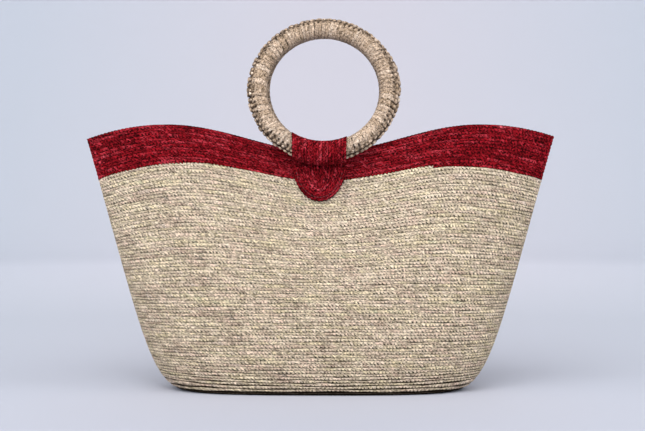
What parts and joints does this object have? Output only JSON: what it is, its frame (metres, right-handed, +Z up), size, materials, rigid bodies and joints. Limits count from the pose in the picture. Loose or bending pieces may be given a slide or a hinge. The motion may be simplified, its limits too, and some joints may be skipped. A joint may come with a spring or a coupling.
{
  "type": "palm leaf tote bag",
  "caption": "Flared open tote of coiled and sewn palm braid with a waved red rim band and wound ring handles that swing in coiled red tabs.",
  "frame": {"origin": "middle of the flat base's underside", "axes": "+X to the bag's right across its width, +Y from the front to the back, +Z up; the front faces -Y"},
  "size_m": [0.472, 0.1262, 0.374],
  "materials": {
    "plain_palm": "matte",
    "red_palm": "matte",
    "cane": "matte",
    "wound_palm": "matte",
    "red_thread": "matte"
  },
  "bodies": {
    "bag": {"base_coil": "plain_palm", "wall_foot_courses": "plain_palm", "wall_lower_courses": "plain_palm", "wall_middle_courses": "plain_palm", "wall_upper_courses": "plain_palm", "rim_band": "red_palm", "front_tab_under_leaf": "red_palm", "front_tab_tongue": "red_palm", "front_tab_thread": "red_thread", "rear_tab_under_leaf": "red_palm", "rear_tab_tongue": "red_palm", "rear_tab_thread": "red_thread"},
    "front_loop": {"front_tab_loop": "red_palm"},
    "front_ring": {"front_ring_hoop": "cane", "front_ring_wrap": "wound_palm", "front_ring_spine": "wound_palm"},
    "rear_loop": {"rear_tab_loop": "red_palm"},
    "rear_ring": {"rear_ring_hoop": "cane", "rear_ring_wrap": "wound_palm", "rear_ring_spine": "wound_palm"}
  },
  "joints": [
    {"name": "front_handle_swing", "type": "hinge", "parent": "bag", "child": "front_loop", "pos_m": [0, -0.05105, 0.23814], "axis": [1, 0, 0], "range_deg": [0, 188]},
    {"name": "front_ring_turn", "type": "hinge", "parent": "front_loop", "child": "front_ring", "pos_m": [0.004, -0.02942, 0.3014], "axis": [0, -0.9462, 0.3236], "continuous": true},
    {"name": "rear_handle_swing", "type": "hinge", "parent": "bag", "child": "rear_loop", "pos_m": [0, 0.05105, 0.23814], "axis": [-1, 0, 0], "range_deg": [0, 188]},
    {"name": "rear_ring_turn", "type": "hinge", "parent": "rear_loop", "child": "rear_ring", "pos_m": [0.004, 0.02942, 0.3014], "axis": [0, 0.9462, 0.3236], "continuous": true}
  ]
}
